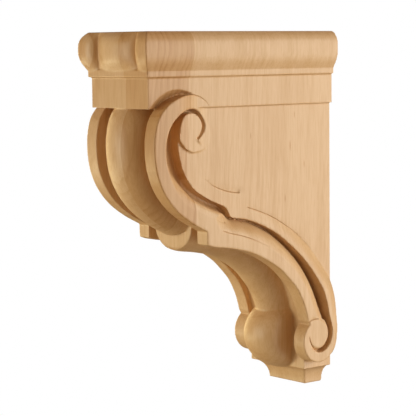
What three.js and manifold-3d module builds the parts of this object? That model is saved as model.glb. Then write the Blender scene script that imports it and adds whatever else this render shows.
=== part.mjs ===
import * as THREE from "three";
import { mergeVertices } from "three/addons/utils/BufferGeometryUtils.js";
import Module from "manifold-3d";

// A carved maple scroll bracket. It is one solid block: a moulded cap, a plain frieze, an S scroll in relief
// on each cheek, a bead running down the front between the scrolls, a roll at the bottom and a coved foot.
// Millimetres, +Z up. The back lies on the plane Y = 0 and the front looks along -Y. The origin is the centre
// of the back, half way up. "Out" is the distance from the wall and "down" the distance below the top.

// Overall
const HEIGHT = 305;
const CAP_WIDTH = 90.8;
const CAP_DEPTH = 206.9;

// Mouldings under the top
const CAP_HEIGHT = 30.7;
const CAP_NOSE = 8;
const CAP_LOBE_WIDTH = 51;
const CAP_CORNER_WIDTH = 10.5;
const FILLET_HEIGHT = 5.5;
const FILLET_STEP = 2.2;
const FRIEZE_HEIGHT = 24.65;
const FRIEZE_STEP = 3.1;

// Scrolls on the cheeks
const SCROLL_STEP = 0.9;
const SCROLL_RELIEF = 11;
const STRIP_WIDTH = 13.4;
const UPPER_GROOVE_DEPTH = 9.3;
const LOWER_GROOVE_DEPTH = 8;
const BORDER_RELIEF = 10.6;
const EYE_RELIEF = 3;
const NECK_CUT_WIDTH = 6.5;

// Front bead, rolls and foot
const FRONT_RECESS = 12;
const BEAD_WIDTH = 48;
const BEAD_PROUD = 7;
const ROLL_RADIUS = 18.7;
const BARREL_RADIUS = 38;
const BARREL_WAIST = 27;
const BARREL_SQUASH = 0.82;
const FOOT_BLOCK_DEPTH = 31;
const FOOT_BLOCK_HEIGHT = 8;
const FOOT_COVE = 11.3;
const FOOT_HEIGHT = 15.6;

// Worked out from the sizes above
const capHalf = CAP_WIDTH / 2;
const friezeHalf = capHalf - CAP_NOSE;
const friezeOut = CAP_DEPTH - CAP_NOSE;
const friezeTop = CAP_HEIGHT + FILLET_HEIGHT;
const neck = friezeTop + FRIEZE_HEIGHT;
const panelHalf = friezeHalf - FRIEZE_STEP;
const faceHalf = panelHalf + SCROLL_RELIEF;
const stripInner = faceHalf - STRIP_WIDTH;
const scrollOut = friezeOut + SCROLL_STEP;
const footTop = HEIGHT - FOOT_HEIGHT;
const scrollDrop = footTop - neck;
const beadHalf = BEAD_WIDTH / 2;

// The scroll drawing. A place is a share of the scroll's depth and a share of its drop from the frieze to the
// foot, so the carving keeps its proportions when the bracket changes size.

// Nose of the cap: share of the cap's height, share of the nose.
const CAP_PROFILE = [
  [0, 0.12],
  [0.06, 0.32],
  [0.17, 0.64],
  [0.28, 0.88],
  [0.4, 0.98],
  [0.55, 1],
  [0.72, 0.93],
  [0.84, 0.78],
  [0.95, 0.5],
  [1, 0.34],
];
// Outer edge of the upper scroll, from behind its eye over the top and down to the step.
const UPPER_EDGE = [
  [0.68, 0.158],
  [0.64, 0.086],
  [0.653, 0.016],
  [0.705, -0.03],
  [0.775, -0.045],
  [0.845, -0.041],
  [0.912, -0.017],
  [0.965, 0.031],
  [0.993, 0.095],
  [0.997, 0.158],
  [0.984, 0.226],
  [0.95, 0.292],
  [0.892, 0.352],
  [0.815, 0.4],
  [0.733, 0.437],
];
// Outer edge of the lower scroll, from the step along the cove to the roll.
const LOWER_EDGE = [
  [0.732, 0.484],
  [0.696, 0.494],
  [0.63, 0.502],
  [0.565, 0.513],
  [0.507, 0.526],
  [0.425, 0.556],
  [0.34, 0.6],
  [0.289, 0.639],
  [0.242, 0.683],
  [0.207, 0.736],
  [0.187, 0.784],
  [0.18, 0.81],
];
// The upper groove round the eye and down inside the band: its band side and its panel side.
const UPPER_GROOVE_BAND = [
  [0.742, 0.115],
  [0.709, 0.093],
  [0.697, 0.066],
  [0.708, 0.039],
  [0.735, 0.015],
  [0.775, 0.003],
  [0.825, 0.008],
  [0.873, 0.027],
  [0.913, 0.062],
  [0.935, 0.112],
  [0.938, 0.165],
  [0.923, 0.224],
  [0.893, 0.281],
  [0.843, 0.332],
  [0.768, 0.366],
  [0.689, 0.393],
  [0.64, 0.402],
  [0.6, 0.407],
];
const UPPER_GROOVE_PANEL = [
  [0.748, 0.112],
  [0.725, 0.093],
  [0.714, 0.065],
  [0.725, 0.04],
  [0.748, 0.024],
  [0.775, 0.019],
  [0.803, 0.025],
  [0.823, 0.043],
  [0.835, 0.071],
  [0.838, 0.11],
  [0.835, 0.149],
  [0.825, 0.187],
  [0.805, 0.233],
  [0.755, 0.289],
  [0.675, 0.33],
  [0.603, 0.356],
  [0.58, 0.373],
  [0.564, 0.404],
];
// The lower groove along the cove and round the lower eye, in the same way.
const LOWER_GROOVE_BAND = [
  [0.69, 0.392],
  [0.667, 0.43],
  [0.615, 0.449],
  [0.564, 0.457],
  [0.488, 0.478],
  [0.411, 0.507],
  [0.34, 0.545],
  [0.27, 0.596],
  [0.213, 0.653],
  [0.17, 0.714],
  [0.143, 0.771],
  [0.12, 0.81],
  [0.08, 0.83],
  [0.065, 0.86],
  [0.072, 0.889],
  [0.098, 0.912],
  [0.13, 0.913],
  [0.158, 0.898],
  [0.171, 0.876],
];
const LOWER_GROOVE_PANEL = [
  [0.604, 0.357],
  [0.575, 0.382],
  [0.558, 0.4],
  [0.505, 0.408],
  [0.45, 0.42],
  [0.385, 0.443],
  [0.325, 0.471],
  [0.255, 0.517],
  [0.183, 0.575],
  [0.13, 0.634],
  [0.088, 0.696],
  [0.065, 0.749],
  [0.053, 0.797],
  [0.039, 0.836],
  [0.041, 0.88],
  [0.063, 0.916],
  [0.105, 0.933],
  [0.15, 0.919],
  [0.175, 0.878],
];
// Far side of the raised border beyond the lower groove. It runs past the wall, where the back cuts it off.
const BORDER_LIMIT = [
  [0.59, 0.345],
  [0.56, 0.355],
  [0.53, 0.365],
  [0.48, 0.37],
  [0.417, 0.383],
  [0.345, 0.407],
  [0.28, 0.436],
  [0.205, 0.476],
  [0.12, 0.541],
  [0.045, 0.617],
  [-0.015, 0.685],
  [-0.05, 0.74],
  [-0.07, 0.797],
  [-0.08, 0.85],
  [-0.065, 0.906],
  [-0.015, 0.958],
  [0.07, 0.973],
  [0.12, 0.973],
  [0.15, 0.973],
];
// The low tongue that the upper eye runs out into.
const EYE_TONGUE = [
  [0.85, 0.095],
  [0.842, 0.108],
  [0.82, 0.131],
  [0.796, 0.147],
  [0.764, 0.157],
  [0.7, 0.146],
  [0.67, 0.1],
  [0.7, 0.04],
];
const EYE_CENTRE = [0.774, 0.0715];
const EYE_RADIUS = 0.068;
const ROLL_CENTRE = [0.1125, 0.889];
const BARREL_CENTRE = [0.11, 0.877];
const VOLUTE_FADE = { from: 0.9, to: 0.66, below: 0.17 };
// Where the bead starts under the frieze, and where the hollow round the neck of the volute ends and is full.
const BEAD_START = 0.92;
const NECK_CUT_END = 0.745;
const NECK_CUT_FULL = 0.88;
// Cross-sections of a groove's sloping side: share of the way across, share of the fall. The upper groove is
// steep round the volute and gets a bevel further down its run, and the lower groove is a gentle hollow.
const STEEP_SLOPE = [
  [0, 0],
  [0.12, 0.66],
  [0.4, 0.96],
  [1, 1],
];
const BEVEL_SLOPE = [
  [0, 0],
  [0.4, 0.12],
  [0.6, 0.6],
  [1, 1],
];
const GENTLE_SLOPE = [
  [0, 0],
  [0.4, 0.18],
  [0.78, 0.6],
  [1, 1],
];
const BEVEL_GROWS = { from: 0.52, to: 0.78 };
// Along each groove, as shares of its run: where the upper one starts and ends deepening, and where the lower
// one starts to rise again.
const UPPER_DEEPENS = { from: -0.15, to: 0.6 };
const LOWER_RISES_FROM = 0.8;
// The border is highest at the groove and falls to the panel over these shares of its width. Along its run it
// grows to full height by BORDER_FULL_AT.
const BORDER_SHARES = [-0.12, 0, 0.2, 0.4, 0.6, 0.8, 0.93, 1];
const BORDER_FULL_AT = 0.56;
const BORDER_GROWTH = 2.2;
// The scroll's plate ends inside the grooves, at this share of their width, and along the lower one it ends at
// this share of the run.
const PLATE_SHARE = 0.93;
const PLATE_END = 0.6;

// Fineness of the curves, and the small lengths by which pieces run into each other
const GROOVE_STEPS = 50;
const EDGE_STEPS = 40;
const ARC_STEPS = 12;
const LOBE_STEPS = 6;
const LOBE_TURN = THREE.MathUtils.degToRad(84);
const OVERLAP = 3;
const SUNK = 0.4;
const ABOVE_ALL = 10;

const wasm = await Module();
wasm.setup();

function at([outShare, dropShare]) {
  return new THREE.Vector2(scrollOut * outShare, neck + scrollDrop * dropShare);
}

function curve(shares, steps) {
  return new THREE.SplineCurve(shares.map(at)).getPoints(steps);
}

// The line that keeps a set share of the way from one curve to another.
function within(fromShares, toShares, share) {
  const to = curve(toShares, GROOVE_STEPS);
  return curve(fromShares, GROOVE_STEPS).map((place, i) => place.lerp(to[i], share));
}

function inSpace(place, x) {
  return new THREE.Vector3(x, -place.x, HEIGHT / 2 - place.y);
}

// Unit direction out of the wood at one point of an edge that runs down the front.
function outward(edge, i) {
  const before = edge[Math.max(i - 1, 0)];
  const after = edge[Math.min(i + 1, edge.length - 1)];
  const run = after.clone().sub(before).normalize();
  return new THREE.Vector2(run.y, -run.x);
}

function shifted(edge, i, distance) {
  return edge[i].clone().addScaledVector(outward(edge, i), distance);
}

function solidOf(geometry) {
  const bare = geometry.clone();
  bare.deleteAttribute("normal");
  bare.deleteAttribute("uv");
  const merged = mergeVertices(bare, 1e-4);
  const triVerts = new Uint32Array(merged.index.array);
  const vertProperties = new Float32Array(merged.attributes.position.array);
  const made = new wasm.Manifold(new wasm.Mesh({ numProp: 3, vertProperties, triVerts }));
  if (made.volume() > 0) return made;
  triVerts.reverse();
  return new wasm.Manifold(new wasm.Mesh({ numProp: 3, vertProperties, triVerts }));
}

function joined(geometries) {
  return geometries.map(solidOf).reduce((whole, solid) => whole.add(solid));
}

function mirrored(geometry) {
  return geometry.clone().applyMatrix4(new THREE.Matrix4().makeScale(-1, 1, 1));
}

// A skin over a row of sections that have equally many corners, closed with a cap at each end. A section is a
// list of corners in space, and "outline" is the flat drawing that its cap is cut from.
function loft(sections, outline) {
  const corners = outline.length;
  const index = [];
  for (let row = 0; row + 1 < sections.length; row++) {
    for (let k = 0; k < corners; k++) {
      const a = row * corners + k;
      const b = row * corners + ((k + 1) % corners);
      index.push(a, b, b + corners, a, b + corners, a + corners);
    }
  }
  const last = (sections.length - 1) * corners;
  const turned = THREE.ShapeUtils.isClockWise(outline);
  for (const [a, b, c] of THREE.ShapeUtils.triangulateShape(outline, [])) {
    const same = THREE.ShapeUtils.isClockWise([outline[a], outline[b], outline[c]]) === turned;
    const [p, q, r] = same ? [a, b, c] : [a, c, b];
    index.push(p, r, q, last + p, last + q, last + r);
  }
  const geometry = new THREE.BufferGeometry().setFromPoints(sections.flat());
  geometry.setIndex(index);
  return geometry;
}

// An outline on the cheek made into a plate between two distances from the middle plane.
function plate(outline, xLow, xHigh) {
  const geometry = new THREE.ExtrudeGeometry(new THREE.Shape(outline), {
    depth: xHigh - xLow,
    bevelEnabled: false,
  });
  const turn = new THREE.Matrix4().set(0, 0, 1, xLow, -1, 0, 0, 0, 0, -1, 0, HEIGHT / 2, 0, 0, 0, 1);
  return geometry.applyMatrix4(turn);
}

function block(halfWidth, depth, top, bottom) {
  const geometry = new THREE.BoxGeometry(2 * halfWidth, depth, bottom - top);
  return geometry.translate(0, -depth / 2, HEIGHT / 2 - (top + bottom) / 2);
}

// The front of the cap seen from above: three lobes with a sharp valley between each two, then a flat run to
// the corner. "nose" is how far the cap stands out at this level. The valleys fall back by nearly all of it.
function lobeLine(nose) {
  const half = friezeHalf + nose;
  const valley = CAP_LOBE_WIDTH / 2;
  const turns = [];
  for (let k = 0; k <= LOBE_STEPS; k++) turns.push((LOBE_TURN * k) / LOBE_STEPS);
  const centre = turns.map((turn) => [valley * Math.sin(turn), 1 - Math.cos(turn)]);
  const corner = turns.map((turn) => [valley + CAP_CORNER_WIDTH * (1 - Math.sin(turn)), 1 - Math.cos(turn)]);
  const right = [...centre.slice(1), ...corner.reverse(), [half, 0]];
  const left = right.map(([x, fall]) => [-x, fall]).reverse();
  return [...left, [0, 0], ...right].map(([x, fall]) => {
    return new THREE.Vector2(x, friezeOut + nose * (1 - fall));
  });
}

function cap() {
  const sections = new THREE.SplineCurve(CAP_PROFILE.map(([d, n]) => new THREE.Vector2(d, n)))
    .getPoints(ARC_STEPS)
    .map(({ x: share, y: nose }) => {
      const front = lobeLine(CAP_NOSE * nose);
      const outline = [
        ...front,
        new THREE.Vector2(front.at(-1).x, 0),
        new THREE.Vector2(front[0].x, 0),
      ];
      return outline.map((p) => new THREE.Vector3(p.x, -p.y, HEIGHT / 2 - CAP_HEIGHT * share));
    });
  return loft(sections, sections[ARC_STEPS / 2].map((p) => new THREE.Vector2(p.x, p.y)));
}

// How far from the middle plane the face of the upper volute lies at a distance out. It is full over the band
// and eases down to just under the panel behind the eye.
function voluteFace(out) {
  const fall = THREE.MathUtils.smoothstep(-out, -scrollOut * VOLUTE_FADE.from, -scrollOut * VOLUTE_FADE.to);
  return faceHalf - (SCROLL_RELIEF + SUNK) * fall;
}

function faceAt(place) {
  return place.y > at([0, VOLUTE_FADE.below]).y ? faceHalf : voluteFace(place.x);
}

// Everything above a slope that falls from one edge of a groove to the foot of its far wall.
function groove(bandShares, panelShares, topAt, floorAt, slopeAt) {
  const band = curve(bandShares, GROOVE_STEPS);
  const panel = curve(panelShares, GROOVE_STEPS);
  const sections = band.map((edge, i) => {
    const top = topAt(edge);
    const share = i / (band.length - 1);
    const floor = floorAt(share);
    const slope = slopeAt(share).map(([across, fall]) => {
      return inSpace(edge.clone().lerp(panel[i], across), THREE.MathUtils.lerp(top, floor, fall));
    });
    return [...slope, inSpace(panel[i], faceHalf + ABOVE_ALL), inSpace(edge, faceHalf + ABOVE_ALL)];
  });
  const outline = [...slopeAt(0).map(([across, fall]) => [across, -fall]), [1, 1], [0, 1]];
  return loft(sections, outline.map(([x, y]) => new THREE.Vector2(x, y)));
}

function upperGroove() {
  const full = panelHalf - UPPER_GROOVE_DEPTH;
  const floorAt = (share) => {
    const deep = THREE.MathUtils.smoothstep(share, UPPER_DEEPENS.from, UPPER_DEEPENS.to);
    return THREE.MathUtils.lerp(panelHalf, full, deep);
  };
  const slopeAt = (share) => {
    const grown = THREE.MathUtils.smoothstep(share, BEVEL_GROWS.from, BEVEL_GROWS.to);
    return STEEP_SLOPE.map((steep, i) => {
      return steep.map((value, k) => THREE.MathUtils.lerp(value, BEVEL_SLOPE[i][k], grown));
    });
  };
  return groove(UPPER_GROOVE_BAND, UPPER_GROOVE_PANEL, faceAt, floorAt, slopeAt);
}

function lowerGroove() {
  const full = panelHalf - LOWER_GROOVE_DEPTH;
  const floorAt = (share) => {
    const risen = THREE.MathUtils.smoothstep(share, LOWER_RISES_FROM, 1);
    return THREE.MathUtils.lerp(full, faceHalf - SUNK, risen);
  };
  const topAt = () => faceHalf;
  const slopeAt = () => GENTLE_SLOPE;
  return groove(LOWER_GROOVE_BAND, LOWER_GROOVE_PANEL, topAt, floorAt, slopeAt);
}

// The whole S of one cheek at full relief, without its grooves.
function scrollPlate() {
  const upperFoot = within(UPPER_GROOVE_BAND, UPPER_GROOVE_PANEL, PLATE_SHARE);
  const lowerFoot = within(LOWER_GROOVE_BAND, LOWER_GROOVE_PANEL, PLATE_SHARE);
  const outline = [
    ...curve(UPPER_EDGE, EDGE_STEPS),
    ...curve(LOWER_EDGE, EDGE_STEPS),
    at(ROLL_CENTRE),
    ...lowerFoot.slice(0, GROOVE_STEPS * PLATE_END).reverse(),
    ...upperFoot.reverse(),
  ];
  return plate(outline, stripInner, faceHalf);
}

// What is taken off the upper volute so that its face sinks into the panel.
function voluteFade() {
  const from = scrollOut * VOLUTE_FADE.from;
  const to = scrollOut * VOLUTE_FADE.to;
  const beyond = to - (from - to);
  const outline = [];
  for (let k = 0; k <= ARC_STEPS; k++) {
    const out = THREE.MathUtils.lerp(from, to, k / ARC_STEPS);
    outline.push(new THREE.Vector2(voluteFace(out), -out));
  }
  outline.push(new THREE.Vector2(voluteFace(to), -beyond));
  outline.push(new THREE.Vector2(faceHalf + ABOVE_ALL, -beyond));
  outline.push(new THREE.Vector2(faceHalf + ABOVE_ALL, -from));
  const drop = at([0, VOLUTE_FADE.below]).y - friezeTop;
  const geometry = new THREE.ExtrudeGeometry(new THREE.Shape(outline), { depth: drop, bevelEnabled: false });
  return geometry.translate(0, 0, HEIGHT / 2 - friezeTop - drop);
}

// The hollow cut into the frieze that lets the top of the volute stand free.
function neckCut() {
  const edge = curve(UPPER_EDGE, EDGE_STEPS);
  const end = scrollOut * NECK_CUT_END;
  const full = scrollOut * NECK_CUT_FULL;
  const lowest = neck + 2 * NECK_CUT_WIDTH;
  const kept = edge.map((_, i) => i).filter((i) => edge[i].x > end && edge[i].y < lowest);
  const sections = kept.map((i) => {
    const outer = shifted(edge, i, NECK_CUT_WIDTH * THREE.MathUtils.smoothstep(edge[i].x, end, full) + SUNK);
    const inner = shifted(edge, i, -OVERLAP);
    return [
      inSpace(outer, friezeHalf),
      inSpace(edge[i], panelHalf - SUNK),
      inSpace(inner, panelHalf - SUNK),
      inSpace(inner, faceHalf),
      inSpace(outer, faceHalf),
    ];
  });
  const outline = [[0, 1], [1, 0], [2, 0], [2, 2], [0, 2]];
  return loft(sections, outline.map(([x, y]) => new THREE.Vector2(x, y)));
}

// The button that the upper volute coils round and the low tongue that runs on from it. Both are highest at
// the groove and sink into the panel towards the wall.
function eye() {
  const circle = new THREE.EllipseCurve(...at(EYE_CENTRE), scrollOut * EYE_RADIUS, scrollOut * EYE_RADIUS);
  const high = at(EYE_TONGUE[0]).x;
  const flush = scrollOut * VOLUTE_FADE.to;
  return [circle.getPoints(2 * ARC_STEPS).slice(1), curve(EYE_TONGUE, EDGE_STEPS / 2)].map((outline) => {
    const geometry = plate(outline, stripInner, panelHalf);
    const places = geometry.attributes.position;
    for (let i = 0; i < places.count; i++) {
      const raised = (EYE_RELIEF * (-places.getY(i) - flush)) / (high - flush);
      if (places.getX(i) > stripInner + SUNK) places.setX(i, panelHalf + raised);
    }
    return geometry;
  });
}

// The raised border beyond the lower groove, which grows into the outer coil of the lower volute.
function border() {
  const near = curve(LOWER_GROOVE_PANEL, GROOVE_STEPS);
  const limit = curve(BORDER_LIMIT, GROOVE_STEPS);
  const rises = BORDER_SHARES.map((share) => Math.cos((Math.max(share, 0) * Math.PI) / 2));
  const low = panelHalf - SUNK;
  const sections = near.slice(0, -2).map((place, i) => {
    const growth = Math.min(i / GROOVE_STEPS / BORDER_FULL_AT, 1) ** BORDER_GROWTH;
    const across = BORDER_SHARES.map((share) => place.clone().lerp(limit[i], share));
    const top = across.map((p, k) => inSpace(p, low + (BORDER_RELIEF + SUNK) * growth * rises[k]));
    return [...top, inSpace(across.at(-1), stripInner), inSpace(across[0], stripInner)];
  });
  const outline = BORDER_SHARES.map((share, k) => new THREE.Vector2(share, 1 + rises[k]));
  outline.push(new THREE.Vector2(BORDER_SHARES.at(-1), 0), new THREE.Vector2(BORDER_SHARES[0], 0));
  return loft(sections, outline);
}

// The rounded bead down the middle of the front, along one edge of the scroll.
function bead(edge, firstOutward) {
  const arc = [];
  for (let k = 0; k <= ARC_STEPS; k++) {
    const turn = Math.PI * (k / ARC_STEPS - 0.5);
    const height = -FRONT_RECESS + (FRONT_RECESS + BEAD_PROUD) * Math.cos(turn);
    arc.push(new THREE.Vector2(beadHalf * Math.sin(turn), height));
  }
  const outline = [
    ...arc,
    new THREE.Vector2(beadHalf, -FRONT_RECESS - OVERLAP),
    new THREE.Vector2(-beadHalf, -FRONT_RECESS - OVERLAP),
  ];
  const sections = edge.map((place, i) => {
    const direction = i === 0 && firstOutward ? firstOutward : outward(edge, i);
    return outline.map(({ x, y }) => inSpace(place.clone().addScaledVector(direction, y), x));
  });
  return loft(sections, outline);
}

// The part of the upper scroll's edge that the bead follows, from inside the frieze to the step.
function beadEdge() {
  const edge = curve(UPPER_EDGE, EDGE_STEPS);
  return edge.slice(edge.findIndex((place) => place.x > scrollOut * BEAD_START));
}

// The lower bead starts with a flat end that looks straight down.
function beads() {
  return [bead(beadEdge()), bead(curve(LOWER_EDGE, EDGE_STEPS), new THREE.Vector2(0, 1))];
}

// The inner block: the panel between the cheeks and the bottom of the grooves beside the bead.
function core() {
  const front = [beadEdge(), curve(LOWER_EDGE, EDGE_STEPS)].flatMap((edge) => {
    return edge.map((_, i) => shifted(edge, i, -FRONT_RECESS));
  });
  const outline = [
    new THREE.Vector2(0, CAP_HEIGHT / 2),
    new THREE.Vector2(front[0].x, CAP_HEIGHT / 2),
    ...front,
    new THREE.Vector2(front.at(-1).x, footTop),
    new THREE.Vector2(0, footTop),
  ];
  return plate(outline, -panelHalf, panelHalf);
}

function roll() {
  const centre = inSpace(at(ROLL_CENTRE), (stripInner + faceHalf) / 2);
  const geometry = new THREE.CylinderGeometry(ROLL_RADIUS, ROLL_RADIUS, faceHalf - stripInner, 4 * ARC_STEPS);
  return geometry.rotateZ(Math.PI / 2).translate(centre.x, centre.y, centre.z);
}

function barrel() {
  const profile = [new THREE.Vector2(0, -beadHalf)];
  for (let k = 0; k <= ARC_STEPS; k++) {
    const turn = Math.PI * (k / ARC_STEPS - 0.5);
    const radius = BARREL_WAIST + (BARREL_RADIUS - BARREL_WAIST) * Math.cos(turn);
    profile.push(new THREE.Vector2(radius, beadHalf * Math.sin(turn)));
  }
  profile.push(new THREE.Vector2(0, beadHalf));
  const centre = inSpace(at(BARREL_CENTRE), 0);
  const geometry = new THREE.LatheGeometry(profile, 3 * ARC_STEPS).rotateZ(Math.PI / 2);
  return geometry.scale(1, 1, BARREL_SQUASH).translate(centre.x, centre.y, centre.z);
}

function foot() {
  const sections = [];
  for (let k = 0; k <= ARC_STEPS / 2; k++) {
    const turn = (Math.PI / 2) * (k / (ARC_STEPS / 2));
    const back = FOOT_COVE * Math.sin(turn);
    const half = panelHalf - back;
    const depth = FOOT_BLOCK_DEPTH - back;
    const down = footTop + FOOT_HEIGHT * (1 - Math.cos(turn));
    const corners = [[-half, 0], [half, 0], [half, depth], [-half, depth]];
    sections.push(corners.map(([x, out]) => inSpace(new THREE.Vector2(out, down), x)));
  }
  const outline = sections[0].map((p) => new THREE.Vector2(p.x, p.y));
  return loft(sections, outline);
}

function bracket() {
  const fade = solidOf(voluteFade());
  const scroll = solidOf(scrollPlate()).subtract(fade);
  const side = scroll.add(joined([...eye(), border(), roll()]));
  const grooves = joined([upperGroove(), lowerGroove()]);
  const frieze = solidOf(block(friezeHalf, friezeOut, CAP_HEIGHT, neck));
  const fillet = block(friezeHalf + FILLET_STEP, friezeOut + FILLET_STEP, CAP_HEIGHT - SUNK, friezeTop);
  const footBlock = block(panelHalf, FOOT_BLOCK_DEPTH, footTop - FOOT_BLOCK_HEIGHT, footTop);
  const flip = (solid) => solidOf(mirrored(geometryOf(solid)));
  const cuts = solidOf(neckCut());
  let whole = frieze.subtract(cuts).subtract(flip(cuts));
  whole = whole.add(joined([cap(), fillet, core(), footBlock, foot(), barrel(), ...beads()]));
  whole = whole.add(side).add(flip(side));
  whole = whole.subtract(grooves).subtract(flip(grooves));
  const behind = new THREE.BoxGeometry(2 * CAP_WIDTH, CAP_DEPTH, 2 * HEIGHT).translate(0, CAP_DEPTH / 2, 0);
  return whole.subtract(solidOf(behind));
}

function geometryOf(solid) {
  const { vertProperties, triVerts } = solid.getMesh();
  const geometry = new THREE.BufferGeometry();
  geometry.setAttribute("position", new THREE.BufferAttribute(vertProperties, 3));
  geometry.setIndex(new THREE.BufferAttribute(triVerts, 1));
  return geometry;
}

const maple = new THREE.MeshStandardMaterial({ color: 0xd9b488, roughness: 0.45, metalness: 0 });
const mesh = new THREE.Mesh(geometryOf(bracket()), maple);
mesh.name = "bracket";
const part = new THREE.Group();
part.add(mesh);

export default part;
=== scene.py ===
import bmesh
import bpy
import math
import numpy as np
from mathutils import Matrix, Vector


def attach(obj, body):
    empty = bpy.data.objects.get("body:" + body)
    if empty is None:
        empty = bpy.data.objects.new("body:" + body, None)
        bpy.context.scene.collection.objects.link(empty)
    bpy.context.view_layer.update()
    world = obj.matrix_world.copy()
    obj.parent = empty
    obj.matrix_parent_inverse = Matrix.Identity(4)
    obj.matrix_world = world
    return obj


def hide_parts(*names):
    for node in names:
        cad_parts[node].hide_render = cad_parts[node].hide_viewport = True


# A maple scroll bracket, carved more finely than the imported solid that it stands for. Lengths are
# millimetres, in the solid's frame: +Z up, the back on Y = 0 and the front towards -Y. "Out" is the distance
# from the wall and "down" the distance below the top. The finished mesh is scaled to metres.

# Overall
HEIGHT = 305
CAP_WIDTH = 90.8
CAP_DEPTH = 206.9
MILLIMETRE = 0.001

# Mouldings under the top
CAP_HEIGHT = 30.7
CAP_NOSE = 8
CAP_LOBE_WIDTH = 51
CAP_CORNER_WIDTH = 10.5
FILLET_HEIGHT = 5.5
FILLET_STEP = 2.2
FRIEZE_HEIGHT = 24.65
FRIEZE_STEP = 3.1

# Scrolls on the cheeks
SCROLL_STEP = 0.9
SCROLL_RELIEF = 11
STRIP_WIDTH = 13.4
UPPER_GROOVE_DEPTH = 9.3
LOWER_GROOVE_DEPTH = 8
BORDER_RELIEF = 10.6
EYE_RELIEF = 3
NECK_CUT_WIDTH = 6.5
NECK_CUT_DEPTH = 5.4

# Front bead, rolls and foot
FRONT_RECESS = 12
BEAD_WIDTH = 48
BEAD_PROUD = 7
LOWER_RECESS = 5
BEAD_TAPER = 4
BEAD_RISE = 5
ROLL_RADIUS = 18.7
BARREL_RADIUS = 38
BARREL_WAIST = 27
BARREL_SQUASH = 0.82
FOOT_BLOCK_DEPTH = 31
FOOT_BLOCK_HEIGHT = 8
FOOT_COVE = 11.3
FOOT_HEIGHT = 15.6

# Worked out from the sizes above
CAP_HALF = CAP_WIDTH / 2
FRIEZE_HALF = CAP_HALF - CAP_NOSE
FRIEZE_OUT = CAP_DEPTH - CAP_NOSE
FRIEZE_TOP = CAP_HEIGHT + FILLET_HEIGHT
NECK = FRIEZE_TOP + FRIEZE_HEIGHT
PANEL_HALF = FRIEZE_HALF - FRIEZE_STEP
FACE_HALF = PANEL_HALF + SCROLL_RELIEF
STRIP_INNER = FACE_HALF - STRIP_WIDTH
SCROLL_OUT = FRIEZE_OUT + SCROLL_STEP
FOOT_TOP = HEIGHT - FOOT_HEIGHT
SCROLL_DROP = FOOT_TOP - NECK
BEAD_HALF = BEAD_WIDTH / 2

# Nose of the cap: share of the cap's height, share of the nose.
CAP_PROFILE = [(0, 0.22), (0.05, 0.44), (0.12, 0.68), (0.21, 0.87), (0.31, 0.965), (0.43, 1), (0.56, 0.985),
               (0.69, 0.9), (0.81, 0.74), (0.91, 0.53), (1, 0.32)]

# The scroll drawing. A place is a share of the scroll's depth and a share of its drop from frieze to foot.
# Outer edge of the upper scroll, from behind its eye over the top and down to the step.
UPPER_EDGE = [(0.68, 0.158), (0.64, 0.086), (0.653, 0.016), (0.705, -0.03), (0.775, -0.045), (0.845, -0.041),
              (0.918, -0.017), (0.973, 0.031), (0.995, 0.095), (0.997, 0.158), (0.984, 0.226), (0.95, 0.292),
              (0.892, 0.352), (0.815, 0.4), (0.733, 0.437)]
# Outer edge of the lower scroll, from the step along the cove to the roll.
LOWER_EDGE = [(0.732, 0.484), (0.696, 0.494), (0.63, 0.502), (0.565, 0.513), (0.507, 0.526), (0.425, 0.556),
              (0.34, 0.6), (0.289, 0.639), (0.242, 0.683), (0.207, 0.736), (0.187, 0.784), (0.18, 0.81)]
# The upper groove round the eye and down inside the band: its band side and its panel side.
UPPER_GROOVE_BAND = [(0.742, 0.115), (0.709, 0.093), (0.697, 0.066), (0.708, 0.039), (0.735, 0.015),
                     (0.775, 0.003), (0.825, 0.008), (0.873, 0.027), (0.913, 0.062), (0.935, 0.112),
                     (0.938, 0.165), (0.923, 0.224), (0.893, 0.281), (0.843, 0.332), (0.768, 0.366),
                     (0.689, 0.393), (0.64, 0.402), (0.6, 0.407)]
UPPER_GROOVE_PANEL = [(0.748, 0.112), (0.725, 0.093), (0.714, 0.065), (0.725, 0.04), (0.748, 0.024),
                      (0.775, 0.019), (0.803, 0.025), (0.823, 0.043), (0.835, 0.071), (0.838, 0.11),
                      (0.835, 0.149), (0.825, 0.187), (0.805, 0.233), (0.755, 0.289), (0.675, 0.33),
                      (0.603, 0.356), (0.58, 0.373), (0.564, 0.404)]
# The lower groove along the cove and round the lower eye, in the same way.
LOWER_GROOVE_BAND = [(0.69, 0.392), (0.667, 0.43), (0.615, 0.449), (0.564, 0.457), (0.488, 0.478),
                     (0.411, 0.507), (0.34, 0.545), (0.27, 0.596), (0.213, 0.653), (0.17, 0.714),
                     (0.143, 0.771), (0.12, 0.81), (0.08, 0.83), (0.065, 0.86), (0.072, 0.889),
                     (0.098, 0.912), (0.13, 0.913), (0.158, 0.898), (0.171, 0.876)]
LOWER_GROOVE_PANEL = [(0.604, 0.357), (0.575, 0.382), (0.558, 0.4), (0.505, 0.408), (0.45, 0.42),
                      (0.385, 0.443), (0.325, 0.471), (0.255, 0.517), (0.183, 0.575), (0.13, 0.634),
                      (0.088, 0.696), (0.065, 0.749), (0.053, 0.797), (0.039, 0.836), (0.041, 0.88),
                      (0.063, 0.916), (0.105, 0.933), (0.15, 0.919), (0.175, 0.878)]
# Far side of the raised border beyond the lower groove. It runs past the wall, where the back cuts it off.
BORDER_LIMIT = [(0.59, 0.345), (0.56, 0.355), (0.53, 0.365), (0.48, 0.37), (0.417, 0.383), (0.345, 0.407),
                (0.28, 0.436), (0.205, 0.476), (0.12, 0.541), (0.045, 0.617), (-0.015, 0.685), (-0.05, 0.74),
                (-0.07, 0.797), (-0.08, 0.85), (-0.065, 0.906), (-0.015, 0.958), (0.07, 0.973), (0.12, 0.973),
                (0.15, 0.973)]
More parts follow.
